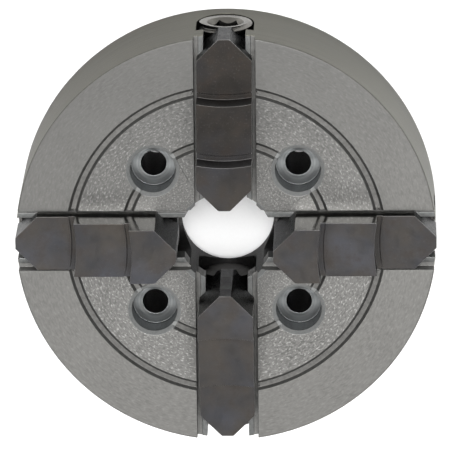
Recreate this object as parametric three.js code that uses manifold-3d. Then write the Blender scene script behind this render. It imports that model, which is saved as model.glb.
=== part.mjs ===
// Four-jaw independent lathe chuck, 200 mm size. Millimetres, +Z towards the jaws.
// The origin is the centre of the back face, on the spindle axis.
//
// Each of the four arms is built in the same arm frame: +X outwards along the arm, +Y across it,
// +Z up, with X = 0 on the spindle axis. An arm's group is then turned about Z to its place.

import * as THREE from "three";
import { mergeVertices } from "three/addons/utils/BufferGeometryUtils.js";
import Module from "manifold-3d";

// Chuck body
const BODY_RADIUS = 100;
const BODY_THICKNESS = 54;
const BORE_RADIUS = 22.2;
const BORE_MOUTH_CHAMFER = 2;
const REGISTER_RADIUS = 32.5;
const REGISTER_DEPTH = 5;
const BACK_CONE = 4.2;
const RIM_CHAMFER = 0.8;
const FACE_GROOVES = [74, 48.3];
const FACE_GROOVE_HALF = 2.3;
const FACE_GROOVE_FLOOR_HALF = 1.15;
const FACE_GROOVE_DEPTH = 1.5;
const BODY_SEGMENTS = 72;

// Mounting bolt holes, entered from the front
const BOLT_OFFSET = 34.4;
const BOLT_HOLE_RADIUS = 6.1;
const COUNTERBORE_RADIUS = 10.9;
const COUNTERBORE_DEPTH = 14.3;
const COUNTERBORE_MOUTH = 1.7;

// Jaw slots: a wide top, a pair of guide ribs, and the bed of the adjusting screw below
const SLOT_HALF = 14.6;
const RIB_TOP_DEPTH = 5.2;
const RIB_UNDER_DEPTH = 16.3;
const RIB_GAP_HALF = 9.95;
const BED_RADIUS = 13.7;
const SCREW_AXIS_Z = 23.5;

// Jaws: plan outline, steps measured from the inner tip, and heights above the body face
const JAW_LENGTH = 77.2;
const JAW_HALF = 13.1;
const JAW_TIP_HALF = 2.75;
const JAW_STEP_1 = 22.3;
const JAW_STEP_2 = 49;
const JAW_TOP_INNER = 27.2;
const JAW_TOP_MIDDLE = 15.8;
const JAW_TOP_OUTER = 4;
const STEP_ARC_RADIUS = 67;
const RELIEF_WIDTH = 2.4;
const RELIEF_DEPTH = 0.6;
const JAW_BOTTOM_Z = 31.5;
const SLIDE_GAP = 0.3;

// Where each arm stands and how far its jaw's inner tip is from the spindle axis. A screw as it is
// built is in mesh with a jaw at the nominal distance.
const ARMS = [
  { place: "right", turn: 0, tip: 22.8 },
  { place: "top", turn: Math.PI / 2, tip: 22.5 },
  { place: "left", turn: Math.PI, tip: 22.8 },
  { place: "bottom", turn: -Math.PI / 2, tip: 19.4 },
];
const NOMINAL_TIP = 22.5;

// Adjusting screw: a right-hand thread, broken by a neck that the thrust bearing holds
const SCREW_INNER_END = 23.6;
const SCREW_HEAD_END = 99.5;
const THREAD_PITCH = 5;
const THREAD_RADIUS = 13;
const THREAD_ROOT_RADIUS = 10.5;
const THREAD_CREST_WIDTH = 1.8;
const THREAD_BASE_WIDTH = 3.1;
const THREAD_STEPS = 12;
const THREAD_OFFSET = 3;
const SCREW_END_CHAMFER = 0.4;
const NECK_RADIUS = 8.5;
const KEY_ACROSS_FLATS = 14;
const KEY_CORNER_RADIUS = KEY_ACROSS_FLATS / Math.sqrt(3);
const KEY_DEPTH = 14;
const KEY_TURN = (52 / 180) * Math.PI;
const KEY_MOUTH_RADIUS = 8.7;
const KEY_MOUTH_DEPTH = 2.6;

// Running room that the jaw's half nut leaves round the thread
const NUT_CREST_GAP = 0.6;
const NUT_ROOT_GAP = 0.5;
const NUT_FLANK_GAP = 0.35;

// Thrust bearing: a forked block with a flange, sunk in the back face round the screw's neck
const BEARING_CENTRE = 62.3;
const BEARING_THICKNESS = 7.6;
const BEARING_HALF = 15;
const BEARING_TOP_Z = 30.5;
const BEARING_NOTCH_RADIUS = 8.9;
const FLANGE_HALF_WIDTH = 6.2;
const FLANGE_TOP_Z = 5;
const SUNK = 0.3;

// Countersunk socket screws that hold the bearing flange
const BEARING_SCREW_SPACING = 19;
const FLAT_HEAD_Z = 0.4;
const FLAT_HEAD_RIM = 0.3;
const FLAT_HEAD_RADIUS = 3.9;
const FLAT_SHANK_RADIUS = 1.9;
const FLAT_SHANK_END_Z = 14;
const FLAT_HOLE_RADIUS = 2.2;
const HEX_SOCKET_RADIUS = 1.45;
const HEX_SOCKET_DEPTH = 1.6;

// Clear length added to a cutting solid so that it passes right through
const THROUGH = 2;

const wasm = await Module();
wasm.setup();

// A closed three.js geometry as a manifold solid.
function solid(geometry) {
  geometry.deleteAttribute("normal");
  geometry.deleteAttribute("uv");
  const merged = mergeVertices(geometry, 1e-4);
  return new wasm.Manifold(
    new wasm.Mesh({
      numProp: 3,
      vertProperties: merged.attributes.position.array,
      triVerts: new Uint32Array(merged.index.array),
    }),
  );
}

// A manifold solid as a three.js geometry with flat faces.
function geometryOf(body) {
  const mesh = body.getMesh();
  const geometry = new THREE.BufferGeometry();
  geometry.setAttribute("position", new THREE.BufferAttribute(mesh.vertProperties, 3));
  geometry.setIndex(new THREE.BufferAttribute(mesh.triVerts, 1));
  const flat = geometry.toNonIndexed();
  flat.computeVertexNormals();
  return flat;
}

// A solid turned about Z, for a feature that repeats on every arm.
function turned(body, angle) {
  return body.rotate([0, 0, (angle * 180) / Math.PI]);
}

// A solid of revolution about Z from [radius, height] pairs.
function revolved(pairs, segments) {
  const points = pairs.map(([radius, height]) => new THREE.Vector2(radius, height));
  return solid(new THREE.LatheGeometry(points, segments).rotateX(Math.PI / 2));
}

// A solid of revolution about the adjusting screw's axis from [radius, distance] pairs.
function revolvedOnArm(pairs, segments) {
  const points = pairs.map(([radius, along]) => new THREE.Vector2(radius, along));
  const geometry = new THREE.LatheGeometry(points, segments).rotateZ(-Math.PI / 2);
  return solid(geometry);
}

// An outline in the plan (X, Y) raised from one height to another.
function raised(shape, fromZ, toZ) {
  const options = { depth: toZ - fromZ, bevelEnabled: false, curveSegments: 8 };
  return solid(new THREE.ExtrudeGeometry(shape, options).translate(0, 0, fromZ));
}

// An outline across the arm (Y, Z) drawn out along X.
function drawnOut(shape, fromX, toX) {
  const options = { depth: toX - fromX, bevelEnabled: false, curveSegments: 8 };
  const geometry = new THREE.ExtrudeGeometry(shape, options);
  geometry.rotateX(Math.PI / 2).rotateZ(Math.PI / 2);
  return solid(geometry.translate(fromX, 0, 0));
}

function polygon(pairs) {
  return new THREE.Shape(pairs.map(([x, y]) => new THREE.Vector2(x, y)));
}

// A slot-shaped outline across the arm, centred at X = centre.
function stadium(centre, halfSpacing, radius) {
  const shape = new THREE.Shape();
  shape.moveTo(centre - radius, -halfSpacing);
  shape.absarc(centre, -halfSpacing, radius, Math.PI, 2 * Math.PI, false);
  shape.lineTo(centre + radius, halfSpacing);
  shape.absarc(centre, halfSpacing, radius, 0, Math.PI, false);
  return shape;
}

function upright(radius, fromZ, toZ, segments) {
  const geometry = new THREE.CylinderGeometry(radius, radius, toZ - fromZ, segments);
  return solid(geometry.rotateX(Math.PI / 2).translate(0, 0, (fromZ + toZ) / 2));
}

// The path of a right-hand thread round the X axis. Its frames stay radial and axial, so an
// extruded outline keeps its X outwards and its Y back along the screw.
class ThreadHelix extends THREE.Curve {
  constructor(fromX, turns, radius) {
    super();
    this.fromX = fromX;
    this.turns = turns;
    this.radius = radius;
  }
  outward(t) {
    const angle = 2 * Math.PI * this.turns * t;
    return new THREE.Vector3(0, Math.cos(angle), Math.sin(angle));
  }
  getPoint(t, target = new THREE.Vector3()) {
    const along = this.fromX + this.turns * THREAD_PITCH * t;
    return target.copy(this.outward(t)).multiplyScalar(this.radius).setX(along);
  }
  computeFrenetFrames(steps) {
    const normals = [];
    const binormals = [];
    for (let i = 0; i <= steps; i += 1) {
      normals.push(this.outward(i / steps));
      binormals.push(new THREE.Vector3(-1, 0, 0));
    }
    return { tangents: [], normals, binormals };
  }
}

// A threaded bar about the X axis. Its ridge crosses the +Y side where X is THREAD_OFFSET past the
// given jaw tip. The gaps thicken it into the tool that cuts the half nut.
function threadedBar(fromX, toX, tip, crestGap, rootGap, flankGap) {
  const crossing = tip + THREAD_OFFSET;
  const startX = crossing - THREAD_PITCH * (Math.ceil((crossing - fromX) / THREAD_PITCH) + 1);
  const turns = Math.ceil((toX - startX) / THREAD_PITCH) + 1;
  const root = THREAD_ROOT_RADIUS + rootGap;
  const crest = THREAD_RADIUS + crestGap;
  const halfCrest = THREAD_CREST_WIDTH / 2 + flankGap;
  const halfBase = THREAD_BASE_WIDTH / 2 + flankGap;
  const buried = -1;
  const ridgeOutline = polygon([
    [buried, -halfBase],
    [0, -halfBase],
    [crest - root, -halfCrest],
    [crest - root, halfCrest],
    [0, halfBase],
    [buried, halfBase],
  ]);
  const path = new ThreadHelix(startX, turns, root);
  const options = { steps: turns * THREAD_STEPS, extrudePath: path };
  const ridge = solid(new THREE.ExtrudeGeometry(ridgeOutline, options));
  const core = revolvedOnArm([[0, fromX], [root, fromX], [root, toX], [0, toX]], THREAD_STEPS);
  const outside = crest + 1;
  const ends = revolvedOnArm([[0, fromX], [outside, fromX], [outside, toX], [0, toX]], THREAD_STEPS);
  return ridge.intersect(ends).add(core);
}

function makeBodyBlank() {
  const face = BODY_THICKNESS;
  const profile = [
    [BORE_RADIUS, REGISTER_DEPTH + BACK_CONE],
    [BORE_RADIUS + BACK_CONE, REGISTER_DEPTH],
    [REGISTER_RADIUS, REGISTER_DEPTH],
    [REGISTER_RADIUS, 0],
    [BODY_RADIUS - RIM_CHAMFER, 0],
    [BODY_RADIUS, RIM_CHAMFER],
    [BODY_RADIUS, face - RIM_CHAMFER],
    [BODY_RADIUS - RIM_CHAMFER, face],
  ];
  for (const radius of FACE_GROOVES) {
    profile.push([radius + FACE_GROOVE_HALF, face]);
    profile.push([radius + FACE_GROOVE_FLOOR_HALF, face - FACE_GROOVE_DEPTH]);
    profile.push([radius - FACE_GROOVE_FLOOR_HALF, face - FACE_GROOVE_DEPTH]);
    profile.push([radius - FACE_GROOVE_HALF, face]);
  }
  profile.push([BORE_RADIUS + BORE_MOUTH_CHAMFER, face]);
  profile.push([BORE_RADIUS, face - BORE_MOUTH_CHAMFER]);
  profile.push(profile[0]);
  return revolved(profile, BODY_SEGMENTS);
}

function makeSlotCutter() {
  const face = BODY_THICKNESS;
  const ribTop = face - RIB_TOP_DEPTH;
  const ribUnder = face - RIB_UNDER_DEPTH;
  const shape = new THREE.Shape();
  shape.moveTo(SLOT_HALF, face + THROUGH);
  shape.lineTo(-SLOT_HALF, face + THROUGH);
  shape.lineTo(-SLOT_HALF, ribTop);
  shape.lineTo(-RIB_GAP_HALF, ribTop);
  shape.lineTo(-RIB_GAP_HALF, ribUnder);
  shape.lineTo(-BED_RADIUS, ribUnder);
  shape.lineTo(-BED_RADIUS, SCREW_AXIS_Z);
  shape.absarc(0, SCREW_AXIS_Z, BED_RADIUS, Math.PI, 2 * Math.PI, false);
  shape.lineTo(BED_RADIUS, ribUnder);
  shape.lineTo(RIB_GAP_HALF, ribUnder);
  shape.lineTo(RIB_GAP_HALF, ribTop);
  shape.lineTo(SLOT_HALF, ribTop);
  return drawnOut(shape, 0, BODY_RADIUS + THROUGH);
}

function makeBoltCutter() {
  const face = BODY_THICKNESS;
  const mouth = COUNTERBORE_RADIUS + COUNTERBORE_MOUTH;
  return revolved(
    [
      [0, -THROUGH],
      [BOLT_HOLE_RADIUS, -THROUGH],
      [BOLT_HOLE_RADIUS, face - COUNTERBORE_DEPTH],
      [COUNTERBORE_RADIUS, face - COUNTERBORE_DEPTH],
      [COUNTERBORE_RADIUS, face - COUNTERBORE_MOUTH],
      [mouth, face],
      [mouth, face + THROUGH],
      [0, face + THROUGH],
    ],
    20,
  );
}

function makeBearingPocket() {
  const flange = stadium(BEARING_CENTRE, BEARING_SCREW_SPACING, FLANGE_HALF_WIDTH + SUNK);
  const halfX = BEARING_THICKNESS / 2 + SUNK;
  const halfY = BEARING_HALF + SUNK;
  const well = new THREE.BoxGeometry(2 * halfX, 2 * halfY, BEARING_TOP_Z + SUNK + THROUGH);
  well.translate(BEARING_CENTRE, 0, (BEARING_TOP_Z + SUNK - THROUGH) / 2);
  let pocket = raised(flange, -THROUGH, FLANGE_TOP_Z + SUNK).add(solid(well));
  for (const side of [-1, 1]) {
    const hole = upright(FLAT_HOLE_RADIUS, 0, FLAT_SHANK_END_Z + THROUGH, 10);
    pocket = pocket.add(hole.translate([BEARING_CENTRE, side * BEARING_SCREW_SPACING, 0]));
  }
  return pocket;
}

function makeChuckBody() {
  let body = makeBodyBlank();
  const slot = makeSlotCutter();
  const pocket = makeBearingPocket();
  const bolt = makeBoltCutter().translate([BOLT_OFFSET, BOLT_OFFSET, 0]);
  for (const { turn } of ARMS) {
    body = body.subtract(turned(slot, turn));
    body = body.subtract(turned(pocket, turn));
    body = body.subtract(turned(bolt, turn));
  }
  return body;
}

// The jaw's outline in plan, pointed at both ends, from its inner tip at X = 0.
function jawOutline(half) {
  const point = half - JAW_TIP_HALF;
  return polygon([
    [0, -JAW_TIP_HALF],
    [point, -half],
    [JAW_LENGTH - point, -half],
    [JAW_LENGTH, -JAW_TIP_HALF],
    [JAW_LENGTH, JAW_TIP_HALF],
    [JAW_LENGTH - point, half],
    [point, half],
    [0, JAW_TIP_HALF],
  ]);
}

// The block of steel that is ground away outside a step: its inner wall is a concave arc.
function stepCutter(wallX, fromZ) {
  const reach = JAW_HALF + 1;
  const sag = STEP_ARC_RADIUS - Math.sqrt(STEP_ARC_RADIUS ** 2 - reach ** 2);
  const spread = Math.asin(reach / STEP_ARC_RADIUS);
  const centre = wallX + STEP_ARC_RADIUS - sag;
  const shape = new THREE.Shape();
  shape.moveTo(JAW_LENGTH + 1, -reach);
  shape.lineTo(JAW_LENGTH + 1, reach);
  shape.lineTo(wallX, reach);
  shape.absarc(centre, 0, STEP_ARC_RADIUS, Math.PI - spread, Math.PI + spread, false);
  return raised(shape, fromZ, BODY_THICKNESS + JAW_TOP_INNER + 1);
}

function reliefCutter(wallX, topZ) {
  const box = new THREE.BoxGeometry(RELIEF_WIDTH + 1, 2 * JAW_HALF + 2, RELIEF_DEPTH + 1);
  const middleX = wallX + (RELIEF_WIDTH - 1) / 2;
  return solid(box.translate(middleX, 0, topZ - RELIEF_DEPTH + (RELIEF_DEPTH + 1) / 2));
}

function makeJaw() {
  const face = BODY_THICKNESS;
  const ribTop = face - RIB_TOP_DEPTH + SLIDE_GAP;
  const ribUnder = face - RIB_UNDER_DEPTH - SLIDE_GAP;
  const flangeHalf = BED_RADIUS - SLIDE_GAP;
  let jaw = raised(jawOutline(JAW_HALF), ribTop, face + JAW_TOP_INNER);
  jaw = jaw.subtract(stepCutter(JAW_STEP_1, face + JAW_TOP_MIDDLE));
  jaw = jaw.subtract(stepCutter(JAW_STEP_2, face + JAW_TOP_OUTER));
  jaw = jaw.subtract(reliefCutter(JAW_STEP_1, face + JAW_TOP_MIDDLE));
  jaw = jaw.subtract(reliefCutter(JAW_STEP_2, face + JAW_TOP_OUTER));
  jaw = jaw.add(raised(jawOutline(RIB_GAP_HALF - SLIDE_GAP), ribUnder - 1, ribTop + 1));
  jaw = jaw.add(raised(jawOutline(flangeHalf), JAW_BOTTOM_Z, ribUnder));
  const nutEnd = JAW_LENGTH + THROUGH;
  const nut = threadedBar(-THROUGH, nutEnd, 0, NUT_CREST_GAP, NUT_ROOT_GAP, NUT_FLANK_GAP);
  return jaw.subtract(nut.translate([0, 0, SCREW_AXIS_Z]));
}

// The adjusting screw about the X axis, in its place along the arm. Its thread is in mesh with
// a jaw whose tip stands at the nominal distance.
function makeAdjustingScrew() {
  const bar = threadedBar(SCREW_INNER_END, SCREW_HEAD_END, NOMINAL_TIP, 0, 0, 0);
  const wide = THREAD_RADIUS + 1;
  const endRadius = THREAD_RADIUS - SCREW_END_CHAMFER;
  const envelope = revolvedOnArm(
    [
      [0, SCREW_INNER_END],
      [endRadius, SCREW_INNER_END],
      [wide, SCREW_INNER_END + wide - endRadius],
      [wide, SCREW_HEAD_END - wide + endRadius],
      [endRadius, SCREW_HEAD_END],
      [0, SCREW_HEAD_END],
    ],
    THREAD_STEPS,
  );
  const neckHalf = BEARING_THICKNESS / 2 + SUNK;
  const neckFrom = BEARING_CENTRE - neckHalf;
  const neckTo = BEARING_CENTRE + neckHalf;
  const groove = revolvedOnArm(
    [
      [NECK_RADIUS, neckFrom],
      [wide, neckFrom],
      [wide, neckTo],
      [NECK_RADIUS, neckTo],
      [NECK_RADIUS, neckFrom],
    ],
    THREAD_STEPS,
  );
  const mouth = revolvedOnArm(
    [
      [0, SCREW_HEAD_END - KEY_MOUTH_DEPTH],
      [KEY_ACROSS_FLATS / 2, SCREW_HEAD_END - KEY_MOUTH_DEPTH],
      [KEY_MOUTH_RADIUS, SCREW_HEAD_END],
      [KEY_MOUTH_RADIUS, SCREW_HEAD_END + 1],
      [0, SCREW_HEAD_END + 1],
    ],
    16,
  );
  const keyHole = new THREE.CylinderGeometry(KEY_CORNER_RADIUS, KEY_CORNER_RADIUS, KEY_DEPTH + 1, 6);
  keyHole.rotateZ(-Math.PI / 2).rotateX(KEY_TURN - Math.PI / 2);
  keyHole.translate(SCREW_HEAD_END + (1 - KEY_DEPTH) / 2, 0, 0);
  return bar.intersect(envelope).subtract(groove).subtract(mouth).subtract(solid(keyHole));
}

function makeThrustBearing() {
  const shape = new THREE.Shape();
  shape.moveTo(-BEARING_HALF, SUNK);
  shape.lineTo(BEARING_HALF, SUNK);
  shape.lineTo(BEARING_HALF, BEARING_TOP_Z - 2);
  shape.lineTo(BEARING_HALF - 2, BEARING_TOP_Z);
  shape.lineTo(BEARING_NOTCH_RADIUS, BEARING_TOP_Z);
  shape.lineTo(BEARING_NOTCH_RADIUS, SCREW_AXIS_Z);
  shape.absarc(0, SCREW_AXIS_Z, BEARING_NOTCH_RADIUS, 0, Math.PI, true);
  shape.lineTo(-BEARING_NOTCH_RADIUS, BEARING_TOP_Z);
  shape.lineTo(2 - BEARING_HALF, BEARING_TOP_Z);
  shape.lineTo(-BEARING_HALF, BEARING_TOP_Z - 2);
  const halfX = BEARING_THICKNESS / 2;
  const fork = drawnOut(shape, BEARING_CENTRE - halfX, BEARING_CENTRE + halfX);
  const flange = stadium(BEARING_CENTRE, BEARING_SCREW_SPACING, FLANGE_HALF_WIDTH);
  let bearing = fork.add(raised(flange, SUNK, FLANGE_TOP_Z));
  for (const side of [-1, 1]) {
    const hole = revolved(flatScrewProfile(SUNK, FLAT_HEAD_Z - THROUGH), 12);
    bearing = bearing.subtract(hole.translate([BEARING_CENTRE, side * BEARING_SCREW_SPACING, 0]));
  }
  return bearing;
}

// A countersunk screw's outline, standing head down. The gap thickens it into its clearance hole.
function flatScrewProfile(gap, fromZ) {
  const head = FLAT_HEAD_RADIUS + gap;
  const shank = FLAT_SHANK_RADIUS + gap;
  const rimZ = FLAT_HEAD_Z + FLAT_HEAD_RIM + gap;
  return [
    [0, fromZ],
    [head, fromZ],
    [head, rimZ],
    [shank, rimZ + head - shank],
    [shank, FLAT_SHANK_END_Z],
    [0, FLAT_SHANK_END_Z],
  ];
}

function makeBearingScrew() {
  const screw = revolved(flatScrewProfile(0, FLAT_HEAD_Z), 12);
  const socketTop = FLAT_HEAD_Z + HEX_SOCKET_DEPTH;
  return screw.subtract(upright(HEX_SOCKET_RADIUS, FLAT_HEAD_Z - 1, socketTop, 6));
}

const castIron = { color: 0x6f6d69, roughness: 0.5, metalness: 0.85 };
const blackenedSteel = { color: 0x37332f, roughness: 0.38, metalness: 0.8 };
const turnedSteel = { color: 0x8d8a84, roughness: 0.42, metalness: 0.9 };
const hardenedSteel = { color: 0x5a5854, roughness: 0.45, metalness: 0.85 };
const blackOxide = { color: 0x222225, roughness: 0.4, metalness: 0.8 };

function meshOf(name, body, finish) {
  const mesh = new THREE.Mesh(geometryOf(body), new THREE.MeshStandardMaterial(finish));
  mesh.name = name;
  return mesh;
}

const chuck = new THREE.Group();
chuck.add(meshOf("chuck_body", makeChuckBody(), castIron));

const jaw = makeJaw();
const adjustingScrew = makeAdjustingScrew();
const thrustBearing = makeThrustBearing();
const bearingScrew = makeBearingScrew();

for (const { place, turn, tip } of ARMS) {
  const arm = new THREE.Group();
  arm.rotation.z = turn;

  const jawMesh = meshOf(`jaw_${place}`, jaw, blackenedSteel);
  jawMesh.position.x = tip;
  arm.add(jawMesh);

  // A jaw moves out by one pitch for each turn back of its screw, so the screw's angle follows it.
  const screwMesh = meshOf(`adjusting_screw_${place}`, adjustingScrew, turnedSteel);
  screwMesh.position.z = SCREW_AXIS_Z;
  screwMesh.rotation.x = (2 * Math.PI * (NOMINAL_TIP - tip)) / THREAD_PITCH;
  arm.add(screwMesh);

  arm.add(meshOf(`thrust_bearing_${place}`, thrustBearing, hardenedSteel));

  for (const side of [-1, 1]) {
    const hand = side < 0 ? "a" : "b";
    const screw = meshOf(`bearing_screw_${place}_${hand}`, bearingScrew, blackOxide);
    screw.position.set(BEARING_CENTRE, side * BEARING_SCREW_SPACING, 0);
    arm.add(screw);
  }
  chuck.add(arm);
}

export default chuck;
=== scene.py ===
import math

import bmesh
import bpy
from mathutils import Matrix, Vector


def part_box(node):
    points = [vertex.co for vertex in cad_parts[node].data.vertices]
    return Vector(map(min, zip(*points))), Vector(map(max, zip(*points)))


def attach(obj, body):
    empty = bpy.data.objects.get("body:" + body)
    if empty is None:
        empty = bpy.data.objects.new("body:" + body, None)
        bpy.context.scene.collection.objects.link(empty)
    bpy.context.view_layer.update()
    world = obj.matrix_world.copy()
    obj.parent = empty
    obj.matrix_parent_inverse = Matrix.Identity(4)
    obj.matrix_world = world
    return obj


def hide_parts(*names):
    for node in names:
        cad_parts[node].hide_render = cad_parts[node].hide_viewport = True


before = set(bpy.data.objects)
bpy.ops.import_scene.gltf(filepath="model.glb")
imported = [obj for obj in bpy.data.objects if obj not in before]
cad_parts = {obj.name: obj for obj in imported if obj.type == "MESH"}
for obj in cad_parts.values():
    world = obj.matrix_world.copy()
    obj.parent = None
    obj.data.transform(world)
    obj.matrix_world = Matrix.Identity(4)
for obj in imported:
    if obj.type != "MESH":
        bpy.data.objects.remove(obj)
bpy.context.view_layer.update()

# Everything below is worked out in millimetres, in the part's frame or in the arm frame, where +X
# points outwards along a jaw slot, and is scaled to metres as its mesh is made.
MM = 0.001

PLACES = {"right": 0.0, "top": math.pi / 2, "left": math.pi, "bottom": -math.pi / 2}


def box_mm(node):
    low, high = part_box(node)
    return low / MM, high / MM


_, body_high = box_mm("chuck_body")
right_jaw_low, right_jaw_high = box_mm("jaw_right")
right_screw_low, right_screw_high = box_mm("adjusting_screw_right")
bearing_low, bearing_high = box_mm("thrust_bearing_right")

BODY_R = body_high.x
FACE_Z = body_high.z
SCREW_Z = (right_screw_low.z + right_screw_high.z) / 2
THREAD_R = (right_screw_high.z - right_screw_low.z) / 2
SCREW_FROM = right_screw_low.x
SCREW_TO = right_screw_high.x
JAW_LENGTH = right_jaw_high.x - right_jaw_low.x
BEARING_X = (bearing_low.x + bearing_high.x) / 2
BEARING_TOP = bearing_high.z


def jaw_tip(place):
    """How far a jaw's inner tip stands from the spindle axis."""
    low, high = box_mm("jaw_" + place)
    return {"right": low.x, "top": low.y, "left": -high.x, "bottom": -high.y}[place]


# ---------------------------------------------------------------- camera

# Angles off the spindle axis in radians, distances in millimetres, and the focal length in image
# widths.
CAMERA_TILT = 0.2898
CAMERA_PAN = 0.0243
CAMERA_ROLL = -0.0101
CAMERA_DISTANCE = 2863.2
CAMERA_TARGET = Vector((1.985, 5.288, FACE_Z))
CAMERA_FOCAL_WIDTHS = 13.11
SENSOR = 36.0
CLIP_METRES = (0.05, 200)


def make_camera():
    back = Vector(
        (
            math.sin(CAMERA_PAN),
            math.sin(CAMERA_TILT) * math.cos(CAMERA_PAN),
            math.cos(CAMERA_TILT) * math.cos(CAMERA_PAN),
        )
    )
    right = (-back).cross(Vector((0, 1, 0))).normalized()
    up = right.cross(-back)
    turn = Matrix.Rotation(CAMERA_ROLL, 3, back)
    right, up = turn @ right, turn @ up
    data = bpy.data.cameras.new("camera")
    data.sensor_width = SENSOR
    data.lens = SENSOR * CAMERA_FOCAL_WIDTHS
    data.clip_start, data.clip_end = CLIP_METRES
    camera = bpy.data.objects.new("camera", data)
    place = (CAMERA_TARGET + back * CAMERA_DISTANCE) * MM
    axes = Matrix((right, up, back)).transposed()
    camera.matrix_world = Matrix.Translation(place) @ axes.to_4x4()
    bpy.context.scene.collection.objects.link(camera)
    bpy.context.scene.camera = camera


# ---------------------------------------------------------------- mesh tools


def link(obj):
    bpy.context.scene.collection.objects.link(obj)
    return obj


def object_from(name, points, faces):
    """A closed mesh from millimetre points, with its faces turned outwards."""
    mesh = bpy.data.meshes.new(name)
    mesh.from_pydata([Vector(p) * MM for p in points], [], faces)
    shape = bmesh.new()
    shape.from_mesh(mesh)
    bmesh.ops.recalc_face_normals(shape, faces=shape.faces)
    shape.to_mesh(mesh)
    shape.free()
    return link(bpy.data.objects.new(name, mesh))


FILLET_STEPS = 4
ARC_STEPS = 24
NEARLY_STRAIGHT = math.pi - 0.01
ON_AXIS = 1e-9


def fillet(corners, radii):
    """The closed outline with each corner rounded to its radius, or left as it is where that is 0
    or the outline runs nearly straight on."""
    points = []
    count = len(corners)
    for i, radius in enumerate(radii):
        corner = Vector(corners[i])
        before = (Vector(corners[i - 1]) - corner).normalized()
        after = (Vector(corners[(i + 1) % count]) - corner).normalized()
        bend = before.angle(after)
        if radius <= 0 or bend > NEARLY_STRAIGHT:
            points.append(corner)
            continue
        reach = radius / math.tan(bend / 2)
        centre = corner + (before + after).normalized() * (radius / math.sin(bend / 2))
        start = corner + before * reach - centre
        end = corner + after * reach - centre
        for k in range(FILLET_STEPS + 1):
            mix = start.slerp(end, k / FILLET_STEPS)
            points.append(centre + mix.normalized() * radius)
    return points


def arc(centre, radius, start, sweep):
    """Points on an arc from its start angle through its sweep, which runs clockwise below 0."""
    x, y = centre
    angles = [start + sweep * k / ARC_STEPS for k in range(ARC_STEPS + 1)]
    return [(x + radius * math.cos(a), y + radius * math.sin(a)) for a in angles]


def hexagon(corner_r, turn=0.0):
    angles = [turn + math.pi * k / 3 for k in range(6)]
    return [(corner_r * math.cos(a), corner_r * math.sin(a)) for a in angles]


def revolve(name, outline, segments, along_x=False):
    """A solid from an outline of (radius, height) turned about Z, or about X. An outline with no
    point on the axis is a closed ring; otherwise its first and last points are on the axis."""
    closed = outline[0][0] > ON_AXIS
    points = []
    rows = []
    for radius, height in outline:
        if radius <= ON_AXIS:
            rows.append([len(points)] * segments)
            points.append((0, 0, height))
            continue
        rows.append(list(range(len(points), len(points) + segments)))
        for k in range(segments):
            angle = 2 * math.pi * k / segments
            points.append((radius * math.cos(angle), radius * math.sin(angle), height))
    faces = []
    pairs = list(zip(rows, rows[1:]))
    if closed:
        pairs.append((rows[-1], rows[0]))
    for low, high in pairs:
        for k in range(segments):
            n = (k + 1) % segments
            face = [low[k], low[n], high[n], high[k]]
            faces.append([v for i, v in enumerate(face) if v not in face[:i]])
    if along_x:
        points = [(z, x, y) for x, y, z in points]
    return object_from(name, points, faces)


def prism(name, outline, low, high, along_x=False):
    """A solid with that outline in plan from one height to another, or, along X, with the outline
    as (Y, Z) from one distance to another."""
    count = len(outline)
    points = [(x, y, h) for h in (low, high) for x, y in outline]
    faces = [list(range(count)), list(range(count, 2 * count))]
    for k in range(count):
        n = (k + 1) % count
        faces.append([k, n, count + n, count + k])
    if along_x:
        points = [(z, x, y) for x, y, z in points]
    return object_from(name, points, faces)


def moved(obj, offset=(0, 0, 0), turn=0.0):
    """Puts a move along the arm, then a turn about Z, into the object's mesh."""
    matrix = Matrix.Rotation(turn, 4, "Z") @ Matrix.Translation(Vector(offset) * MM)
    obj.data.transform(matrix)
    return obj


def copied(obj, name):
    twin = bpy.data.objects.new(name, obj.data.copy())
    return link(twin)


def dropped(obj):
    mesh = obj.data
    bpy.data.objects.remove(obj)
    bpy.data.meshes.remove(mesh)


def settled(obj):
    """Applies the object's modifiers to its mesh."""
    graph = bpy.context.evaluated_depsgraph_get()
    mesh = bpy.data.meshes.new_from_object(obj.evaluated_get(graph), depsgraph=graph)
    old = obj.data
    obj.modifiers.clear()
    obj.data = mesh
    bpy.data.meshes.remove(old)
    return obj


def combined(obj, tool, how="DIFFERENCE"):
    """Cuts, joins or crosses the object with a tool, which is used up."""
    step = obj.modifiers.new("cut", "BOOLEAN")
    step.operation = how
    step.object = tool
    step.solver = "MANIFOLD"
    settled(obj)
    dropped(tool)
    return obj


def edges_softened(obj, width):
    """Breaks every edge that bends by more than 40 degrees."""
    step = obj.modifiers.new("soften", "BEVEL")
    step.width = width * MM
    step.segments = 2
    step.limit_method = "ANGLE"
    step.angle_limit = math.radians(40)
    step.use_clamp_overlap = False
    step.miter_outer = "MITER_SHARP"
    return settled(obj)


def smoothed(obj):
    """Smooth shading that stays flat on flat faces and crisp at hard edges."""
    obj.data.shade_smooth()
    obj.data.set_sharp_from_angle(angle=math.radians(32))
    step = obj.modifiers.new("normals", "WEIGHTED_NORMAL")
    step.keep_sharp = True
    step.weight = 80
    return settled(obj)


# ---------------------------------------------------------------- chuck body

BORE_R = 22.2
BORE_MOUTH = 2.0
REGISTER_R = 32.5
REGISTER_DEPTH = 5.0
BACK_CONE = 4.2
RIM_ROUND = 0.8
GROOVE_RADII = (74.0, 48.3)
GROOVE_HALF = 2.3
GROOVE_FLOOR_HALF = 1.15
GROOVE_DEPTH = 1.5
BODY_STEPS = 288

BOLT_OFFSET = 34.4
BOLT_HOLE_R = 5.95
COUNTERBORE_R = 10.9
COUNTERBORE_DEPTH = 14.3
COUNTERBORE_MOUTH = 1.7

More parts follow.
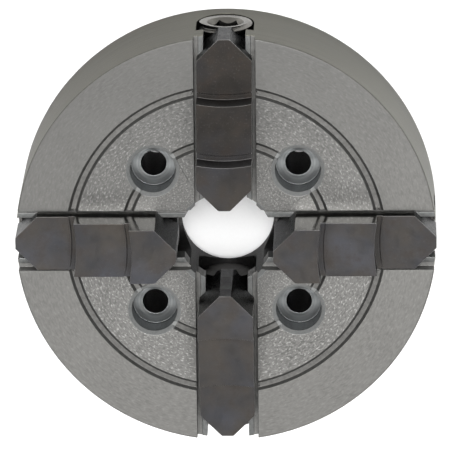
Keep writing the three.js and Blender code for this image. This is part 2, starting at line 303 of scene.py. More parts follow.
SLOT_HALF = 14.6
RIB_TOP = FACE_Z - 5.2
RIB_UNDER = FACE_Z - 16.3
RIB_GAP_HALF = 9.95
RIB_RELIEF_WIDTH = 2.2
RIB_RELIEF_DEPTH = 0.9
BED_R = 13.7
# How far a cutting tool reaches past the metal.
THROUGH = 3.0

# The bearings sit in pockets with this much room, and their screws stand to each side of the arm.
SUNK = 0.3
BEARING_SPREAD = 19.0
FLANGE_HALF = 6.2
FLANGE_TOP = 5.0
BEARING_HALF = 15.0
BEARING_THICK = 7.6
BEARING_NOTCH_R = 8.9


def groove_outline(radius):
    """A face groove from its outer lip to its inner lip: rounded lips, sloping sides, flat floor."""
    lip, foot = 0.3, 0.5
    corners = [
        (radius + GROOVE_HALF + 2 * lip, FACE_Z),
        (radius + GROOVE_HALF, FACE_Z),
        (radius + GROOVE_FLOOR_HALF, FACE_Z - GROOVE_DEPTH),
        (radius - GROOVE_FLOOR_HALF, FACE_Z - GROOVE_DEPTH),
        (radius - GROOVE_HALF, FACE_Z),
        (radius - GROOVE_HALF - 2 * lip, FACE_Z),
    ]
    rounded = fillet(corners, [0, lip, foot, foot, lip, 0])
    return rounded[1:-1]


def body_outline():
    """Half the body's section, from the bore's back cone round the rim to the bore's front mouth."""
    corners = [
        (BORE_R, REGISTER_DEPTH + BACK_CONE),
        (BORE_R + BACK_CONE, REGISTER_DEPTH),
        (REGISTER_R, REGISTER_DEPTH),
        (REGISTER_R, 0),
        (BODY_R, 0),
        (BODY_R, FACE_Z),
        (BORE_R + BORE_MOUTH, FACE_Z),
        (BORE_R, FACE_Z - BORE_MOUTH),
    ]
    rounds = [0.4, 0.4, 0.5, 0.5, RIM_ROUND, RIM_ROUND, 0.4, 0.4]
    outline = fillet(corners, rounds)
    # The grooves go in after the rim's rounding, which is on the sixth corner.
    front = 6 * (FILLET_STEPS + 1)
    grooves = [p for radius in GROOVE_RADII for p in groove_outline(radius)]
    return outline[:front] + grooves + outline[front:]


def slot_outline():
    """A jaw slot across the arm, with the relief grooves along the foot of its upper walls."""
    inner_relief = SLOT_HALF - RIB_RELIEF_WIDTH
    side = [
        (SLOT_HALF, FACE_Z + THROUGH),
        (SLOT_HALF, RIB_TOP - RIB_RELIEF_DEPTH),
        (inner_relief, RIB_TOP - RIB_RELIEF_DEPTH),
        (inner_relief, RIB_TOP),
        (RIB_GAP_HALF, RIB_TOP),
        (RIB_GAP_HALF, RIB_UNDER),
        (BED_R, RIB_UNDER),
    ]
    other = [(-y, z) for y, z in reversed(side)]
    return side + arc((0, SCREW_Z), BED_R, 0, -math.pi) + other


def bolt_outline():
    """A bolt hole with its counterbore and chamfered mouth."""
    corners = [
        (0, -THROUGH),
        (BOLT_HOLE_R, -THROUGH),
        (BOLT_HOLE_R, FACE_Z - COUNTERBORE_DEPTH),
        (COUNTERBORE_R, FACE_Z - COUNTERBORE_DEPTH),
        (COUNTERBORE_R, FACE_Z - COUNTERBORE_MOUTH),
        (COUNTERBORE_R + COUNTERBORE_MOUTH, FACE_Z),
        (COUNTERBORE_R + COUNTERBORE_MOUTH, FACE_Z + THROUGH),
        (0, FACE_Z + THROUGH),
    ]
    return fillet(corners, [0, 0, 0.35, 0.3, 0.35, 0, 0, 0])


def flange_outline(gap):
    """The bearing flange in plan: long across the arm, with round ends."""
    radius = FLANGE_HALF + gap
    points = []
    end_steps = 20
    for side in (1, -1):
        for k in range(end_steps + 1):
            angle = math.pi * k / end_steps
            across = side * (BEARING_SPREAD + radius * math.sin(angle))
            points.append((BEARING_X + side * radius * math.cos(angle), across))
    return points


def make_body():
    body = revolve("body", body_outline(), BODY_STEPS)
    half_x = BEARING_THICK / 2 + SUNK
    half_y = BEARING_HALF + SUNK
    well = [
        (BEARING_X - half_x, -half_y),
        (BEARING_X + half_x, -half_y),
        (BEARING_X + half_x, half_y),
        (BEARING_X - half_x, half_y),
    ]
    for turn in PLACES.values():
        slot = prism("slot", slot_outline(), 0, BODY_R + THROUGH, along_x=True)
        combined(body, moved(slot, turn=turn))
        flange = prism("pocket", flange_outline(SUNK), -THROUGH, FLANGE_TOP + SUNK)
        combined(body, moved(flange, turn=turn))
        block = prism("well", well, -THROUGH, BEARING_TOP + SUNK)
        combined(body, moved(block, turn=turn))
        bolt = revolve("bolt", bolt_outline(), 64)
        combined(body, moved(bolt, (BOLT_OFFSET, BOLT_OFFSET, 0), turn))
    return edges_softened(body, 0.25)


# ---------------------------------------------------------------- jaws

JAW_HALF = 13.1
JAW_TIP_HALF = 2.75
# How far the corners of the two step walls stand from the tip.
JAW_STEP_1 = 22.3
JAW_STEP_2 = 49.0
JAW_TOP_INNER = right_jaw_high.z
JAW_TOP_MIDDLE = FACE_Z + 15.8
JAW_TOP_OUTER = FACE_Z + 4.0
STEP_ARC_R = 67.0
RELIEF_WIDTH = 2.6
RELIEF_DEPTH = 0.9
JAW_BOTTOM = 31.5
SLIDE_GAP = 0.3


def jaw_outline(half):
    point = half - JAW_TIP_HALF
    return [
        (0, -JAW_TIP_HALF),
        (point, -half),
        (JAW_LENGTH - point, -half),
        (JAW_LENGTH, -JAW_TIP_HALF),
        (JAW_LENGTH, JAW_TIP_HALF),
        (JAW_LENGTH - point, half),
        (point, half),
        (0, JAW_TIP_HALF),
    ]


def step_tool(wall_x, low, reach_x=None):
    """What is ground away outside a step, whose wall is a concave arc with its corners at wall_x.
    The tool reaches reach_x beyond the wall, or past the jaw's outer end."""
    half = JAW_HALF + 1
    spread = math.asin(half / STEP_ARC_R)
    corner_x = wall_x + STEP_ARC_R * (math.cos(math.asin(JAW_HALF / STEP_ARC_R)) - math.cos(spread))
    centre_x = corner_x + STEP_ARC_R * math.cos(spread)
    wall = arc((centre_x, 0), STEP_ARC_R, math.pi - spread, 2 * spread)
    if reach_x is None:
        far = [(JAW_LENGTH + 1, -half), (JAW_LENGTH + 1, half)]
    else:
        far = [(x + reach_x, y) for x, y in reversed(wall)]
    return prism("step", wall + far, low, JAW_TOP_INNER + 1)


def make_jaw():
    """A jaw in the arm frame with its inner tip at X = 0."""
    rib_top = RIB_TOP + SLIDE_GAP
    rib_under = RIB_UNDER - SLIDE_GAP
    jaw = prism("jaw", jaw_outline(JAW_HALF), rib_top, JAW_TOP_INNER)
    for wall_x, top in ((JAW_STEP_1, JAW_TOP_MIDDLE), (JAW_STEP_2, JAW_TOP_OUTER)):
        combined(jaw, step_tool(wall_x, top))
        combined(jaw, step_tool(wall_x, top - RELIEF_DEPTH, RELIEF_WIDTH))
    waist = jaw_outline(RIB_GAP_HALF - SLIDE_GAP)
    combined(jaw, prism("waist", waist, rib_under - 1, rib_top + 1), "UNION")
    foot = jaw_outline(BED_R - SLIDE_GAP)
    combined(jaw, prism("foot", foot, JAW_BOTTOM, rib_under), "UNION")
    edges_softened(jaw, 0.3)
    gaps = {"crest_gap": 0.45, "root_gap": 0.4, "flank_gap": 0.35}
    nut = threaded_bar(-THROUGH, JAW_LENGTH + THROUGH, tip=0.0, **gaps)
    return combined(jaw, moved(nut, (0, 0, SCREW_Z)))


# ---------------------------------------------------------------- adjusting screws

PITCH = 5.0
THREAD_OFFSET = 3.0
ROOT_R = 10.5
CREST_WIDTH = 1.8
BASE_WIDTH = 3.1
TURN_STEPS = 48
END_CHAMFER = 0.4
NECK_R = 8.5
SHOULDER_DROP = 1.2
KEY_ACROSS_FLATS = 14.0
KEY_DEPTH = 14.0
KEY_TURN = math.radians(52)
KEY_ROUND = 0.4
KEY_MOUTH_R = 8.7
KEY_MOUTH_DEPTH = 2.6


def thread_profile(crest_gap, root_gap, flank_gap):
    """One pitch of the thread as (distance along, radius), with its corners just broken."""
    root, crest = ROOT_R + root_gap, THREAD_R + crest_gap
    base, top = BASE_WIDTH / 2 + flank_gap, CREST_WIDTH / 2 + flank_gap
    corners = [(-base, root), (-top, crest), (top, crest), (base, root)]
    soft = 0.18
    points = []
    for i, corner in enumerate(corners):
        corner = Vector(corner)
        before = Vector(corners[i - 1]) if i else Vector((base - PITCH, root))
        after = Vector(corners[i + 1]) if i < 3 else Vector((PITCH - base, root))
        points.append(corner + (before - corner).normalized() * soft)
        points.append(corner + (after - corner).normalized() * soft)
    return [(p.x, p.y) for p in points]


def threaded_bar(start, end, tip, crest_gap=0.0, root_gap=0.0, flank_gap=0.0):
    """A bar about the X axis with a right-hand thread that runs past both distances. It is one
    helical sheet of the profile, each turn sewn to the next, with a cone on each end. Its ridge
    crosses the +Y side THREAD_OFFSET past the tip of the jaw that it is in mesh with."""
    profile = thread_profile(crest_gap, root_gap, flank_gap)
    crossing = tip + THREAD_OFFSET
    first = crossing - PITCH * (math.ceil((crossing - start) / PITCH) + 1)
    turns = math.ceil((end - first) / PITCH) + 1
    steps = turns * TURN_STEPS
    width = len(profile)
    points = []
    for s in range(steps + 1):
        angle = 2 * math.pi * s / TURN_STEPS
        base = first + PITCH * s / TURN_STEPS
        for along, radius in profile:
            points.append((base + along, radius * math.cos(angle), radius * math.sin(angle)))

    def at(s, k):
        return (s + TURN_STEPS * (k // width)) * width + k % width

    faces = []
    for s in range(steps):
        for k in range(width):
            if k == width - 1 and s + TURN_STEPS + 1 > steps:
                continue
            faces.append([at(s, k), at(s + 1, k), at(s + 1, k + 1), at(s, k + 1)])
    near = [at(s, 0) for s in range(TURN_STEPS + 1)]
    near += [at(0, k) for k in range(width - 1, 0, -1)]
    far = [at(s, width - 1) for s in range(steps - TURN_STEPS, steps + 1)]
    far += [at(steps, k) for k in range(width - 2, -1, -1)]
    for loop, x in ((near, first - 1), (far, first + turns * PITCH + 1)):
        apex = len(points)
        points.append((x, 0, 0))
        for i, v in enumerate(loop):
            faces.append([v, loop[(i + 1) % len(loop)], apex])
    return object_from("thread", points, faces)


def make_screw():
    """An adjusting screw about the X axis in its place, in mesh with the top jaw."""
    screw = threaded_bar(SCREW_FROM, SCREW_TO, jaw_tip("top"))
    wide = THREAD_R + 1
    end_r = THREAD_R - END_CHAMFER
    shoulder_r = THREAD_R - SHOULDER_DROP
    socket_end = SCREW_TO - KEY_MOUTH_DEPTH - 0.2
    neck_from = BEARING_X - BEARING_THICK / 2 - SUNK
    neck_to = BEARING_X + BEARING_THICK / 2 + SUNK
    corners = [
        (0, SCREW_FROM),
        (end_r, SCREW_FROM),
        (wide, SCREW_FROM + wide - end_r),
        (wide, neck_from - 2),
        (shoulder_r, neck_from),
        (NECK_R, neck_from),
        (NECK_R, neck_to),
        (shoulder_r, neck_to),
        (wide, neck_to + 2),
        (wide, SCREW_TO - wide + end_r),
        (end_r, SCREW_TO),
        (KEY_MOUTH_R, SCREW_TO),
        (KEY_ACROSS_FLATS / 2, SCREW_TO - KEY_MOUTH_DEPTH),
        (KEY_ACROSS_FLATS / 2, socket_end),
        (0, socket_end),
    ]
    rounds = [0, 0.2, 0, 0, 0.2, 0.5, 0.5, 0.2, 0, 0, 0.2, 0.2, 0, 0, 0]
    envelope = revolve("envelope", fillet(corners, rounds), TURN_STEPS * 2, along_x=True)
    combined(screw, envelope, "INTERSECT")
    key = fillet(hexagon(KEY_ACROSS_FLATS / math.sqrt(3), KEY_TURN), [KEY_ROUND] * 6)
    socket = prism("socket", key, SCREW_TO - KEY_DEPTH, SCREW_TO + 1, along_x=True)
    return combined(screw, socket)


# ---------------------------------------------------------------- thrust bearings and their screws

FLAT_HEAD_R = 3.9
FLAT_SHANK_R = 1.9
FLAT_HEAD_Z = 0.4
FLAT_END_Z = 14.0
HEX_R = 1.45
HEX_DEPTH = 1.6
SCREW_HOLE_GAP = 0.25


def flat_screw_corners(gap):
    """A countersunk screw's section, head down, or that of its hole where the gap is above 0."""
    cone_z = FLAT_HEAD_Z + 0.3 + gap
    head, shank = FLAT_HEAD_R + gap, FLAT_SHANK_R + gap
    head_z = FLAT_HEAD_Z - 3 * gap
    return [
        (0, head_z),
        (head, head_z),
        (head, cone_z),
        (shank, cone_z + head - shank),
        (shank, FLAT_END_Z),
        (0, FLAT_END_Z),
    ]


def make_bearing():
    """A forked block that holds a screw's neck, with a flange at its foot for two screws."""
    notch = arc((0, SCREW_Z), BEARING_NOTCH_R, 0, -math.pi)
    chamfer = 2.0
    outline = [
        (-BEARING_HALF, SUNK),
        (BEARING_HALF, SUNK),
        (BEARING_HALF, BEARING_TOP - chamfer),
        (BEARING_HALF - chamfer, BEARING_TOP),
        (BEARING_NOTCH_R, BEARING_TOP),
        *notch,
        (-BEARING_NOTCH_R, BEARING_TOP),
        (chamfer - BEARING_HALF, BEARING_TOP),
        (-BEARING_HALF, BEARING_TOP - chamfer),
    ]
    half = BEARING_THICK / 2
    bearing = prism("bearing", outline, BEARING_X - half, BEARING_X + half, along_x=True)
    combined(bearing, prism("flange", flange_outline(0), SUNK, FLANGE_TOP), "UNION")
    edges_softened(bearing, 0.3)
    for side in (-1, 1):
        hole = revolve("hole", flat_screw_corners(SCREW_HOLE_GAP), 40)
        combined(bearing, moved(hole, (BEARING_X, side * BEARING_SPREAD, 0)))
    return bearing


def make_bearing_screw():
    rounds = [0, 0.2, 0.1, 0.3, 0.4, 0]
    screw = revolve("flat_screw", fillet(flat_screw_corners(0), rounds), 48)
    combined(screw, prism("hex", hexagon(HEX_R), FLAT_HEAD_Z - 1, FLAT_HEAD_Z + HEX_DEPTH))
    return edges_softened(screw, 0.08)


# ---------------------------------------------------------------- materials


NOISE_RANGE = (0.3, 0.7)


class Nodes:
    """Short calls for building one material's node tree."""

    def __init__(self, name):
        self.material = bpy.data.materials.new(name)
        self.material.use_nodes = True
        self.tree = self.material.node_tree
        self.shader = self.tree.nodes["Principled BSDF"]
        self.place = self.add("ShaderNodeTexCoord").outputs["Object"]

    def add(self, kind, **settings):
        node = self.tree.nodes.new(kind)
        for key, value in settings.items():
            setattr(node, key, value)
        return node

    def wire(self, source, target):
        self.tree.links.new(source, target)

    def feed(self, socket, value):
        if isinstance(value, bpy.types.NodeSocket):
            self.wire(value, socket)
        else:
            socket.default_value = value

    def noise(self, scale, detail=3, roughness=0.6, vector=None):
        node = self.add("ShaderNodeTexNoise")
        self.wire(vector or self.place, node.inputs["Vector"])
        node.inputs["Scale"].default_value = scale
        node.inputs["Detail"].default_value = detail
        node.inputs["Roughness"].default_value = roughness
        return node.outputs["Fac"]

    def math(self, operation, a, b=0.0):
        node = self.add("ShaderNodeMath", operation=operation)
        self.feed(node.inputs[0], a)
        self.feed(node.inputs[1], b)
        return node.outputs[0]

    def vector(self, operation, a, b=(0, 0, 0)):
        node = self.add("ShaderNodeVectorMath", operation=operation)
        self.feed(node.inputs[0], a)
        self.feed(node.inputs[1], b)
        return node

    def stretched(self, factors):
        """The object's own coordinates, each multiplied by its factor."""
        return self.vector("MULTIPLY", self.place, factors).outputs["Vector"]

    def split(self, vector):
        node = self.add("ShaderNodeSeparateXYZ")
        self.wire(vector, node.inputs[0])
        return node.outputs

    def joined(self, x, y, z):
        node = self.add("ShaderNodeCombineXYZ")
        for socket, value in zip(node.inputs, (x, y, z)):
            self.feed(socket, value)
        return node.outputs[0]

    def spread(self, value, low, high, to_low=0.0, to_high=1.0):
        """Maps a value between two bounds to a new range, clamped."""
        node = self.add("ShaderNodeMapRange")
        self.feed(node.inputs["Value"], value)
        node.inputs["From Min"].default_value = low
        node.inputs["From Max"].default_value = high
        node.inputs["To Min"].default_value = to_low
        node.inputs["To Max"].default_value = to_high
        return node.outputs["Result"]

    def blend(self, factor, a, b):
        node = self.add("ShaderNodeMix", data_type="RGBA")
        self.feed(node.inputs["Factor"], factor)
        for socket, value in zip((node.inputs[6], node.inputs[7]), (a, b)):
            if isinstance(value, (tuple, list)):
                value = (*value, 1.0)
            self.feed(socket, value)
        return node.outputs[2]

    def toned(self, noise, dark, light):
        """One tone or the other by a noise, which mostly lies between 0.3 and 0.7."""
        return self.blend(self.spread(noise, *NOISE_RANGE), dark, light)

    def bump(self, height, strength, distance):
        node = self.add("ShaderNodeBump")
        self.wire(height, node.inputs["Height"])
        node.inputs["Strength"].default_value = strength
        node.inputs["Distance"].default_value = distance * MM
        return node.outputs["Normal"]

    def edge(self, radius):
        """1 on a convex or concave edge, 0 on flat metal."""
        bevel = self.add("ShaderNodeBevel", samples=4)
        bevel.inputs["Radius"].default_value = radius * MM
        plain = self.add("ShaderNodeNewGeometry").outputs["Normal"]
        same = self.vector("DOT_PRODUCT", bevel.outputs["Normal"], plain).outputs["Value"]
        return self.spread(same, 0.995, 0.90)

    def finish(self, color, roughness, normal=None, metallic=1.0, grazing=1.0, anisotropic=0.0):
        """Sets the shader. Grazing is how much of its gloss is left at a flat angle: oil and fine
        dirt take some of it away."""
        inputs = self.shader.inputs
        self.feed(inputs["Base Color"], color)
        self.feed(inputs["Roughness"], roughness)
        inputs["Specular Tint"].default_value = (grazing, grazing, grazing, 1.0)
        inputs["Metallic"].default_value = metallic
        inputs["Anisotropic"].default_value = anisotropic
        if normal is not None:
            self.wire(normal, inputs["Normal"])
        return self.material


def face_material():
    """Ground iron face: a fine sparkling grain inside the outer groove, calmer outside it."""
    n = Nodes("ground_face")
    x, y = n.split(n.place)[0:2]
    radius = n.vector("LENGTH", n.joined(x, y, 0.0)).outputs["Value"]
    around = n.math("ARCTAN2", y, x)
    calm = n.spread(radius, 0.0735, 0.0755, 1.0, 0.35)
    fine = n.noise(1900, 2)
    turned = n.joined(n.math("MULTIPLY", radius, 1100), n.math("MULTIPLY", around, 28), 0.0)
    grain = n.noise(1.0, 3, 0.65, turned)
    clouds = n.noise(60, 3, 0.55)
    flecks = n.joined(n.math("MULTIPLY", radius, 1300), n.math("MULTIPLY", around, 42), 5.0)
    speck = n.spread(n.noise(1.0, 1, 0.5, flecks), 0.55, 0.72)
    bright = n.math("MULTIPLY", n.math("MULTIPLY", speck, calm), 0.55)
    tone = n.blend(n.spread(grain, 0.36, 0.64), (0.070, 0.069, 0.066), (0.132, 0.130, 0.125))
    tone = n.blend(n.spread(clouds, 0.35, 0.65, 0.0, 0.22), tone, (0.152, 0.150, 0.144))
    tone = n.blend(bright, tone, (0.31, 0.306, 0.296))
    even = n.math("MULTIPLY", n.math("SUBTRACT", 1.0, calm), 0.75)
    tone = n.blend(even, tone, (0.118, 0.116, 0.110))
    # The face is darker round the bore, and painted shade darkens it towards the far, left side.
    near_bore = n.spread(radius, 0.026, 0.034, 0.35, 0.0)
    far_side_painted_shade = n.spread(n.math("SUBTRACT", y, n.math("MULTIPLY", x, 0.3)), -0.03, 0.09, 0.0, 0.5)
    tone = n.blend(n.math("MAXIMUM", near_bore, far_side_painted_shade), tone, (0.050, 0.050, 0.049))
    rough = n.spread(grain, *NOISE_RANGE, 0.42, 0.56)
    height = n.math("ADD", n.math("MULTIPLY", fine, 0.4), n.math("MULTIPLY", grain, 0.6))
    height = n.math("MULTIPLY", height, calm)
    return n.finish(tone, rough, n.bump(height, 0.35, 0.05))


def rim_material():
    """Turned rim: fine rings round the body's side, satin and slightly warm, with painted shade
    darkening its left side.
    """
    n = Nodes("turned_rim")
    x = n.split(n.place)[0]
    rings = n.noise(1.0, vector=n.stretched((14, 14, 2600)))
    clouds = n.noise(22, 3, 0.5)
    tone = n.toned(rings, (0.106, 0.104, 0.088), (0.139, 0.137, 0.117))
    tone = n.blend(n.spread(clouds, 0.35, 0.7, 0.0, 0.5), tone, (0.108, 0.107, 0.096))
    # Painted shade: the rim darkens towards its left side.
    left_painted_shade = n.spread(x, -0.1, 0.08, 0.8, 0.0)
    tone = n.blend(left_painted_shade, tone, (0.046, 0.042, 0.029))
    rough = n.spread(rings, *NOISE_RANGE, 0.38, 0.5)
    return n.finish(tone, rough, n.bump(rings, 0.25, 0.04), grazing=0.65)


def machined_material(name, tones, rough_range, grazing=0.25, metallic=0.7):
    """Milled or turned metal: soft upright streaks and a fine grain in the gloss."""
    n = Nodes(name)
    streaks = n.noise(1.0, vector=n.stretched((500, 500, 60)))
    rough = n.spread(n.noise(1300, 2), *NOISE_RANGE, *rough_range)
    return n.finish(n.toned(streaks, *tones), rough, n.bump(streaks, 0.2, 0.04), metallic, grazing)


def counterbore_material():
    """Turned counterbores: rings round each bolt hole that stretch the light across them."""
    n = Nodes("turned_counterbore")
    x, y, z = n.split(n.place)[0:3]
    local_x = n.math("SUBTRACT", x, n.math("MULTIPLY", n.math("SIGN", x), BOLT_OFFSET * MM))
    local_y = n.math("SUBTRACT", y, n.math("MULTIPLY", n.math("SIGN", y), BOLT_OFFSET * MM))
    around = n.joined(n.math("MULTIPLY", local_y, -1.0), local_x, 0.0)
    radius = n.vector("LENGTH", around).outputs["Value"]
    across = n.joined(n.math("MULTIPLY", radius, 2600), n.math("MULTIPLY", z, 2600), 0.0)
    rings = n.noise(1.0, vector=across)
    tone = n.toned(rings, (0.100, 0.105, 0.106), (0.160, 0.166, 0.166))
    rough = n.spread(rings, *NOISE_RANGE, 0.26, 0.38)
    n.wire(n.vector("NORMALIZE", around).outputs["Vector"], n.shader.inputs["Tangent"])
    return n.finish(tone, rough, n.bump(rings, 0.2, 0.03), grazing=0.4, anisotropic=0.8)


def mouth_material():
    """Chamfered mouths of the holes: matt grey iron that takes light from all round."""
    n = Nodes("chamfered_mouth")
    grain = n.noise(1200)
    tone = n.toned(grain, (0.105, 0.108, 0.106), (0.145, 0.148, 0.145))
    return n.finish(tone, 0.55, n.bump(grain, 0.15, 0.03), metallic=0.2)


def jaw_top_material():
    """Hardened, blackened steel: blue clouds, brown stains and fine bright grains, and painted shade
    with a brown stain in it that darkens the far jaw."""
    n = Nodes("blackened_steel")
    y = n.split(n.place)[1]
    clouds = n.noise(55, 5)
    stain = n.noise(120, 6, 0.7)
    grain = n.noise(1100)
    tone = n.blend(n.spread(clouds, 0.35, 0.65), (0.034, 0.034, 0.036), (0.046, 0.042, 0.038))
    tone = n.blend(n.spread(n.noise(38, 2), 0.5, 0.7, 0.0, 0.7), tone, (0.048, 0.050, 0.058))
    # Painted shade, with a brown stain in it, darkens the tops towards the far jaw.
    tone = n.blend(n.spread(y, 0.0, 0.06, 0.0, 0.75), tone, (0.0135, 0.012, 0.0105))
    tone = n.blend(n.spread(stain, 0.48, 0.66, 0.0, 0.5), tone, (0.026, 0.0205, 0.017))
    tone = n.blend(n.spread(grain, 0.58, 0.76, 0.0, 0.3), tone, (0.08, 0.076, 0.072))
    rough = n.spread(stain, 0.35, 0.7, 0.36, 0.5)
    return n.finish(tone, rough, n.bump(grain, 0.12, 0.03))


def step_material():
    """Step walls: blackened like the tops, with painted shade that is darkest at the foot of each
    wall and lightens towards its top.
    """
    n = Nodes("jaw_step")
    z = n.split(n.place)[2]
    grain = n.noise(900)
    upper = n.spread(z, (JAW_TOP_MIDDLE + 1) * MM, JAW_TOP_INNER * MM)
    lower = n.spread(z, (JAW_TOP_OUTER + 1) * MM, JAW_TOP_MIDDLE * MM)
    below = n.spread(z, (JAW_TOP_MIDDLE - 0.5) * MM, (JAW_TOP_MIDDLE - 0.4) * MM, 1.0, 0.0)
    # Painted shade: each wall is darkest at its foot and lighter towards its top.
    up = n.math("MAXIMUM", upper, n.math("MULTIPLY", lower, below))
    tone = n.blend(up, (0.012, 0.012, 0.013), (0.090, 0.089, 0.089))
    rough = n.spread(grain, *NOISE_RANGE, 0.36, 0.48)
    return n.finish(tone, rough, n.bump(grain, 0.15, 0.03), grazing=0.8)


def jaw_side_material():
    """Ground side walls of the jaws, with faint strokes along the jaw."""
    n = Nodes("ground_sides")
    strokes = n.noise(1.0, vector=n.stretched((90, 90, 1800)))
    tone = n.toned(strokes, (0.23, 0.228, 0.22), (0.30, 0.297, 0.288))
    rough = n.spread(strokes, *NOISE_RANGE, 0.12, 0.2)
    return n.finish(tone, rough, n.bump(strokes, 0.08, 0.02))


def dark_material(name, tones, rough_range, edge_wear_and_highlight=0.15, grazing=0.25, metallic=1.0):
    """Turned or blackened metal with a fine grain, its edges lightened by wear and a painted
    highlight.
    """
    n = Nodes(name)
    grain = n.noise(800)
    tone = n.toned(n.noise(90), *tones)
    # Edges: lightened by wear and by a painted highlight.
    tone = n.blend(n.math("MULTIPLY", n.edge(0.3), edge_wear_and_highlight), tone, (0.4, 0.4, 0.4))
    rough = n.spread(grain, *NOISE_RANGE, *rough_range)
    return n.finish(tone, rough, n.bump(grain, 0.15, 0.03), metallic, grazing)


def floor_material():
    n = Nodes("paper")
    tone = n.toned(n.noise(600), (0.86, 0.86, 0.86), (0.88, 0.88, 0.88))
    return n.finish(tone, 0.9, metallic=0.0)


# ---------------------------------------------------------------- putting finishes on faces


def painted(obj, materials, chooser):
    """Gives each face the material whose name in the table the chooser returns for the face's
    centre, in millimetres, and its outward direction."""
    obj.data.materials.clear()
    for material in materials.values():
        obj.data.materials.append(material)
    names = list(materials)
    for face in obj.data.polygons:
        face.material_index = names.index(chooser(Vector(face.center) / MM, face.normal))


# A face belongs to the rim, or to a screw's outer end, if its centre is within this of it.
RIM_BAND = 1.0
SCREW_END_BAND = 2.4
# By the upward part of its direction, a face above FLAT is level and one below UPRIGHT is a wall.
FLAT = 0.97
UPRIGHT = 0.3


def body_finish(centre, normal):
    flat = math.hypot(centre.x, centre.y)
    across = min(abs(centre.x), abs(centre.y))
    below = FACE_Z - centre.z
    to_bolt = math.hypot(abs(centre.x) - BOLT_OFFSET, abs(centre.y) - BOLT_OFFSET)
    if to_bolt < COUNTERBORE_R + COUNTERBORE_MOUTH + 0.1 and below > 0.02:
        return bolt_finish(below, normal)
    if below < 2.2 and across > SLOT_HALF + 0.05 and flat > BORE_R + 0.1:
        return front_finish(flat, below, normal)
    if flat > BODY_R - RIM_BAND:
        return "rim"
    if across < SLOT_HALF + 0.3 and centre.z > RIB_UNDER - 0.5:
        near_rib = abs(centre.z - RIB_TOP) < 0.3 or across < RIB_GAP_HALF + 0.3
        return "ribs" if near_rib else "slot walls"
    return "bore and back"


def bolt_finish(below, normal):
    """Inside a bolt hole and its counterbore."""
    if below < COUNTERBORE_MOUTH + 0.2 and normal.z > 0.2:
        return "mouths"
    if below > COUNTERBORE_DEPTH + 1:
        return "bore and back"
    return "counterbore walls" if abs(normal.z) < UPRIGHT else "counterbore floors"


def front_finish(flat, below, normal):
    """The front face, outside its slots and bolt holes, with its grooves and rounded borders."""
    if flat > BODY_R - RIM_BAND:
        return "rim" if normal.z < 0.2 else "rim edge" if normal.z < 0.98 else "face"
    if flat < BORE_R + BORE_MOUTH + 0.3:
        return "face" if normal.z > FLAT else "mouths"
    if below > GROOVE_DEPTH - 0.3:
        return "groove floors"
    return "face" if normal.z > FLAT else "groove sides"


def jaw_finish(centre, normal):
    if centre.z < RIB_TOP + 1:
        return "ends"
    if normal.z > 0.9:
        return "tops"
    # Broken edges, worn and lightened with a painted highlight.
    if abs(normal.z) > UPRIGHT:
        return "edge wear and painted highlights"
    if min(abs(centre.x), abs(centre.y)) > JAW_HALF - 0.6:
        return "sides"
    along = max(abs(normal.x), abs(normal.y))
    return "ends" if along < 0.9 else "steps"


def screw_finish(centre, normal):
    outward = Vector((centre.x, centre.y, 0)).normalized()
    along = max(abs(centre.x), abs(centre.y))
    at_end = along > SCREW_TO - SCREW_END_BAND and normal.dot(outward) > 0.4
    return "outer end" if at_end else "thread and socket"


def one_finish(centre, normal):
    return "all"


def finished(obj, node, body, materials, chooser=one_finish):
    """Names a piece after the CAD piece that it stands for, paints it, hangs it from its body and
    hides the CAD piece.
    """
    smoothed(obj)
    obj.name = obj.data.name = node + "_detail"
    painted(obj, materials, chooser)
    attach(obj, body)
    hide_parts(node)


# ---------------------------------------------------------------- floor and light


# In metres and watts.
FLOOR_HALF = 60.0
FLOOR_DROP = 0.0003
LIGHT_SIZE = 0.6
LIGHT_TARGET = (0, 0, 0.04)
LIGHTS = (
    ("key_far", (0, 0.6, 1.9), 36),
    ("side_left", (-0.6, 0.03, 1.9), 12),
    ("side_right", (0.6, 0.03, 1.9), 13),
    ("near_left", (-0.6, -1.1, 1.5), 10),
    ("near_right", (0.6, -1.1, 1.5), 9),
)
# The sky is bright up to the first height, dim above the second, and fades between the two.
SKY_HEIGHTS = (0.45, 0.8)
SKY_STRENGTHS = (1.15, 0.17)


def make_floor():
    half, low = FLOOR_HALF, -FLOOR_DROP
    mesh = bpy.data.meshes.new("floor")
    corners = [(-half, -half, low), (half, -half, low), (half, half, low), (-half, half, low)]
    mesh.from_pydata(corners, [], [(0, 1, 2, 3)])
    mesh.materials.append(floor_material())
    link(bpy.data.objects.new("floor", mesh))


def area_light(name, place, power):
    data = bpy.data.lights.new(name, "AREA")
    data.shape = "RECTANGLE"
    data.size = data.size_y = LIGHT_SIZE
    data.energy = power
    light = link(bpy.data.objects.new(name, data))
    light.location = place
    light.rotation_mode = "QUATERNION"
    direction = Vector(LIGHT_TARGET) - Vector(place)
    light.rotation_quaternion = direction.to_track_quat("-Z", "Y")
    light.visible_camera = False


def make_sky():
    world = bpy.data.worlds.new("studio")
    bpy.context.scene.world = world
    world.use_nodes = True
    tree = world.node_tree
    sky = tree.nodes["Background"]
    sky.inputs["Color"].default_value = (1, 1, 1, 1)
    height = tree.nodes.new("ShaderNodeSeparateXYZ")
    fade = tree.nodes.new("ShaderNodeMapRange")
    direction = tree.nodes.new("ShaderNodeTexCoord")
    tree.links.new(direction.outputs["Generated"], height.inputs[0])
    tree.links.new(height.outputs["Z"], fade.inputs["Value"])
    tree.links.new(fade.outputs["Result"], sky.inputs["Strength"])
    for end, height_at, strength in zip(("Min", "Max"), SKY_HEIGHTS, SKY_STRENGTHS):
        fade.inputs["From " + end].default_value = height_at
        fade.inputs["To " + end].default_value = strength


# ---------------------------------------------------------------- the chuck

make_camera()
make_floor()
make_sky()
for name, place, power in LIGHTS:
    area_light(name, place, power)
bpy.context.scene.view_settings.view_transform = "Standard"

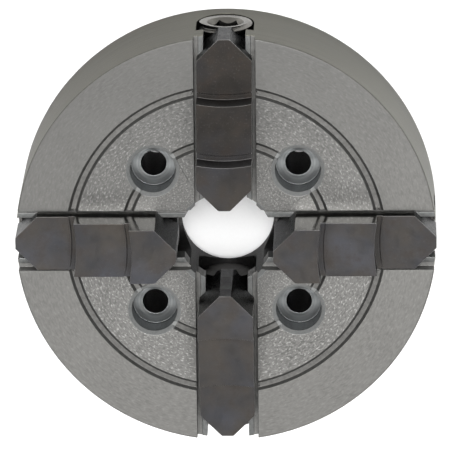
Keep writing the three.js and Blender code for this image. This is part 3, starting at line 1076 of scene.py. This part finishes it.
body_iron = {
    "face": face_material(),
    "rim": rim_material(),
    "slot walls": machined_material(
        "milled_wall", ((0.10, 0.099, 0.095), (0.14, 0.138, 0.133)), (0.38, 0.52), 0.3, 0.5
    ),
    "counterbore floors": counterbore_material(),
    "ribs": machined_material(
        "guide_rib", ((0.09, 0.092, 0.09), (0.13, 0.132, 0.13)), (0.3, 0.42)
    ),
    "bore and back": machined_material(
        "bore_iron", ((0.014, 0.014, 0.014), (0.025, 0.024, 0.023)), (0.36, 0.5), 0.4
    ),
    "groove sides": machined_material(
        "groove_side", ((0.05, 0.05, 0.048), (0.075, 0.074, 0.071)), (0.5, 0.6), 0.6
    ),
    "mouths": mouth_material(),
    "rim edge": machined_material(
        "rim_edge", ((0.085, 0.084, 0.078), (0.115, 0.113, 0.105)), (0.45, 0.55), 0.6
    ),
    "groove floors": machined_material(
        "groove_floor", ((0.068, 0.067, 0.064), (0.10, 0.098, 0.094)), (0.45, 0.55), 1.0, 1.0
    ),
    "counterbore walls": machined_material(
        "counterbore_wall", ((0.065, 0.069, 0.072), (0.10, 0.106, 0.110)), (0.34, 0.46), 0.4
    ),
}
jaw_steel = {
    "tops": jaw_top_material(),
    "sides": jaw_side_material(),
    "steps": step_material(),
    "ends": dark_material(
        "jaw_end", ((0.060, 0.061, 0.063), (0.085, 0.085, 0.086)), (0.24, 0.34), 0.1, 0.5
    ),
    # The jaws' broken edges: worn, and lightened with a painted highlight.
    "edge wear and painted highlights": dark_material(
        "edge_wear_painted_highlight", ((0.12, 0.119, 0.117), (0.20, 0.198, 0.194)), (0.36, 0.46), 0.0, 1.0, 0.3
    ),
}
screw_steel = {
    "thread and socket": dark_material(
        "oiled_thread", ((0.026, 0.025, 0.024), (0.044, 0.043, 0.041)), (0.26, 0.38), 0.2, 0.5
    ),
    "outer end": dark_material(
        "turned_end", ((0.095, 0.091, 0.083), (0.13, 0.125, 0.114)), (0.34, 0.46), 0.1, 1.0
    ),
}
bearing_steel = {
    "all": dark_material("bearing_steel", ((0.10, 0.097, 0.093), (0.15, 0.146, 0.14)), (0.3, 0.42))
}
black_oxide = {
    "all": dark_material("black_oxide", ((0.03, 0.03, 0.032), (0.05, 0.05, 0.052)), (0.34, 0.46))
}

finished(make_body(), "chuck_body", "chuck", body_iron, body_finish)

jaw_pattern = make_jaw()
screw_pattern = make_screw()
bearing_pattern = make_bearing()
flat_screw_pattern = make_bearing_screw()

for place, turn in PLACES.items():
    tip = jaw_tip(place)
    jaw = moved(copied(jaw_pattern, "jaw"), (tip, 0, 0), turn)
    finished(jaw, "jaw_" + place, "jaw_" + place, jaw_steel, jaw_finish)

    # The pattern is in mesh with the top jaw, so a jaw that stands further in turns its screw on.
    screw = copied(screw_pattern, "screw")
    angle = 2 * math.pi * (jaw_tip("top") - tip) / PITCH
    screw.data.transform(Matrix.Rotation(angle, 4, "X"))
    moved(screw, (0, 0, SCREW_Z), turn)
    node = "adjusting_screw_" + place
    finished(screw, node, "screw_" + place, screw_steel, screw_finish)

    bearing = moved(copied(bearing_pattern, "bearing"), turn=turn)
    finished(bearing, "thrust_bearing_" + place, "chuck", bearing_steel)

    for hand, side in (("a", -1), ("b", 1)):
        flat = copied(flat_screw_pattern, "flat")
        moved(flat, (BEARING_X, side * BEARING_SPREAD, 0), turn)
        finished(flat, f"bearing_screw_{place}_{hand}", "chuck", black_oxide)

for pattern in (jaw_pattern, screw_pattern, bearing_pattern, flat_screw_pattern):
    dropped(pattern)
